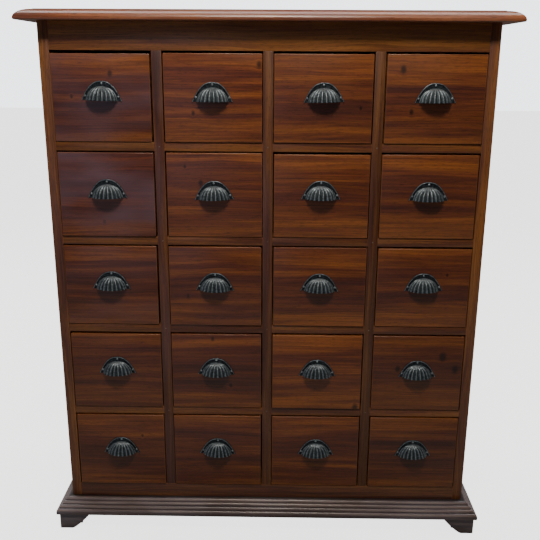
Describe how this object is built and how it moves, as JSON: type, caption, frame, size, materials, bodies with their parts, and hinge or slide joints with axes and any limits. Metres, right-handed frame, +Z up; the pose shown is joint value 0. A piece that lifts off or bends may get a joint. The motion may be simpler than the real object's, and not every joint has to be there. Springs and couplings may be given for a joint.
{
  "type": "apothecary cabinet",
  "caption": "Standing wooden apothecary chest of small square drawers with ribbed shell cup pulls, a moulded top, a reeded plinth and bracket feet.",
  "frame": {"origin": "on the floor, at the middle of the cabinet's footprint box", "axes": "+Z up, the drawer fronts face -Y, +X to the right as one faces the fronts"},
  "size_m": [0.9764, 0.373, 1.147],
  "materials": {
    "frame_wood": "satin-lacquered mahogany, grain along each member",
    "top_wood": "satin-lacquered mahogany, slightly redder and glossier",
    "plinth_wood": "satin-lacquered mahogany, dulled by wear",
    "drawer_wood": "satin-lacquered dark mahogany front, plain wood inside",
    "inside_wood": "plain unfinished wood",
    "pull_metal": "antique pewter finish, dark in the hollows and rubbed bright on the ribs",
    "nail_steel": "darkened steel"
  },
  "bodies": {
    "case": {"top_board": "top_wood", "side_left": "frame_wood", "side_right": "frame_wood", "back_boards": "inside_wood", "base_board": "inside_wood", "top_rail": "frame_wood", "bottom_rail": "frame_wood", "drawer_runners": "inside_wood", "back_rails": "inside_wood", "plinth_front": "plinth_wood", "plinth_returns": "plinth_wood", "bracket_feet": "plinth_wood", "frame_nails": "nail_steel", "divider_1": "frame_wood", "divider_2": "frame_wood", "divider_3": "frame_wood", "drawer_rails_1": "frame_wood", "drawer_rails_2": "frame_wood", "drawer_rails_3": "frame_wood", "drawer_rails_4": "frame_wood"},
    "sliding_r1_c1": {"drawer_r1_c1": "drawer_wood", "pull_r1_c1": "pull_metal"},
    "sliding_r1_c2": {"drawer_r1_c2": "drawer_wood", "pull_r1_c2": "pull_metal"},
    "sliding_r1_c3": {"drawer_r1_c3": "drawer_wood", "pull_r1_c3": "pull_metal"},
    "sliding_r1_c4": {"drawer_r1_c4": "drawer_wood", "pull_r1_c4": "pull_metal"},
    "sliding_r2_c1": {"drawer_r2_c1": "drawer_wood", "pull_r2_c1": "pull_metal"},
    "sliding_r2_c2": {"drawer_r2_c2": "drawer_wood", "pull_r2_c2": "pull_metal"},
    "sliding_r2_c3": {"drawer_r2_c3": "drawer_wood", "pull_r2_c3": "pull_metal"},
    "sliding_r2_c4": {"drawer_r2_c4": "drawer_wood", "pull_r2_c4": "pull_metal"},
    "sliding_r3_c1": {"drawer_r3_c1": "drawer_wood", "pull_r3_c1": "pull_metal"},
    "sliding_r3_c2": {"drawer_r3_c2": "drawer_wood", "pull_r3_c2": "pull_metal"},
    "sliding_r3_c3": {"drawer_r3_c3": "drawer_wood", "pull_r3_c3": "pull_metal"},
    "sliding_r3_c4": {"drawer_r3_c4": "drawer_wood", "pull_r3_c4": "pull_metal"},
    "sliding_r4_c1": {"drawer_r4_c1": "drawer_wood", "pull_r4_c1": "pull_metal"},
    "sliding_r4_c2": {"drawer_r4_c2": "drawer_wood", "pull_r4_c2": "pull_metal"},
    "sliding_r4_c3": {"drawer_r4_c3": "drawer_wood", "pull_r4_c3": "pull_metal"},
    "sliding_r4_c4": {"drawer_r4_c4": "drawer_wood", "pull_r4_c4": "pull_metal"},
    "sliding_r5_c1": {"drawer_r5_c1": "drawer_wood", "pull_r5_c1": "pull_metal"},
    "sliding_r5_c2": {"drawer_r5_c2": "drawer_wood", "pull_r5_c2": "pull_metal"},
    "sliding_r5_c3": {"drawer_r5_c3": "drawer_wood", "pull_r5_c3": "pull_metal"},
    "sliding_r5_c4": {"drawer_r5_c4": "drawer_wood", "pull_r5_c4": "pull_metal"}
  },
  "joints": [
    {"name": "slide_r1_c1", "type": "slide", "parent": "case", "child": "sliding_r1_c1", "axis": [0, -1, 0], "range_m": [0, 0.25]},
    {"name": "slide_r1_c2", "type": "slide", "parent": "case", "child": "sliding_r1_c2", "axis": [0, -1, 0], "range_m": [0, 0.25]},
    {"name": "slide_r1_c3", "type": "slide", "parent": "case", "child": "sliding_r1_c3", "axis": [0, -1, 0], "range_m": [0, 0.25]},
    {"name": "slide_r1_c4", "type": "slide", "parent": "case", "child": "sliding_r1_c4", "axis": [0, -1, 0], "range_m": [0, 0.25]},
    {"name": "slide_r2_c1", "type": "slide", "parent": "case", "child": "sliding_r2_c1", "axis": [0, -1, 0], "range_m": [0, 0.25]},
    {"name": "slide_r2_c2", "type": "slide", "parent": "case", "child": "sliding_r2_c2", "axis": [0, -1, 0], "range_m": [0, 0.25]},
    {"name": "slide_r2_c3", "type": "slide", "parent": "case", "child": "sliding_r2_c3", "axis": [0, -1, 0], "range_m": [0, 0.25]},
    {"name": "slide_r2_c4", "type": "slide", "parent": "case", "child": "sliding_r2_c4", "axis": [0, -1, 0], "range_m": [0, 0.25]},
    {"name": "slide_r3_c1", "type": "slide", "parent": "case", "child": "sliding_r3_c1", "axis": [0, -1, 0], "range_m": [0, 0.25]},
    {"name": "slide_r3_c2", "type": "slide", "parent": "case", "child": "sliding_r3_c2", "axis": [0, -1, 0], "range_m": [0, 0.25]},
    {"name": "slide_r3_c3", "type": "slide", "parent": "case", "child": "sliding_r3_c3", "axis": [0, -1, 0], "range_m": [0, 0.25]},
    {"name": "slide_r3_c4", "type": "slide", "parent": "case", "child": "sliding_r3_c4", "axis": [0, -1, 0], "range_m": [0, 0.25]},
    {"name": "slide_r4_c1", "type": "slide", "parent": "case", "child": "sliding_r4_c1", "axis": [0, -1, 0], "range_m": [0, 0.25]},
    {"name": "slide_r4_c2", "type": "slide", "parent": "case", "child": "sliding_r4_c2", "axis": [0, -1, 0], "range_m": [0, 0.25]},
    {"name": "slide_r4_c3", "type": "slide", "parent": "case", "child": "sliding_r4_c3", "axis": [0, -1, 0], "range_m": [0, 0.25]},
    {"name": "slide_r4_c4", "type": "slide", "parent": "case", "child": "sliding_r4_c4", "axis": [0, -1, 0], "range_m": [0, 0.25]},
    {"name": "slide_r5_c1", "type": "slide", "parent": "case", "child": "sliding_r5_c1", "axis": [0, -1, 0], "range_m": [0, 0.25]},
    {"name": "slide_r5_c2", "type": "slide", "parent": "case", "child": "sliding_r5_c2", "axis": [0, -1, 0], "range_m": [0, 0.25]},
    {"name": "slide_r5_c3", "type": "slide", "parent": "case", "child": "sliding_r5_c3", "axis": [0, -1, 0], "range_m": [0, 0.25]},
    {"name": "slide_r5_c4", "type": "slide", "parent": "case", "child": "sliding_r5_c4", "axis": [0, -1, 0], "range_m": [0, 0.25]}
  ]
}
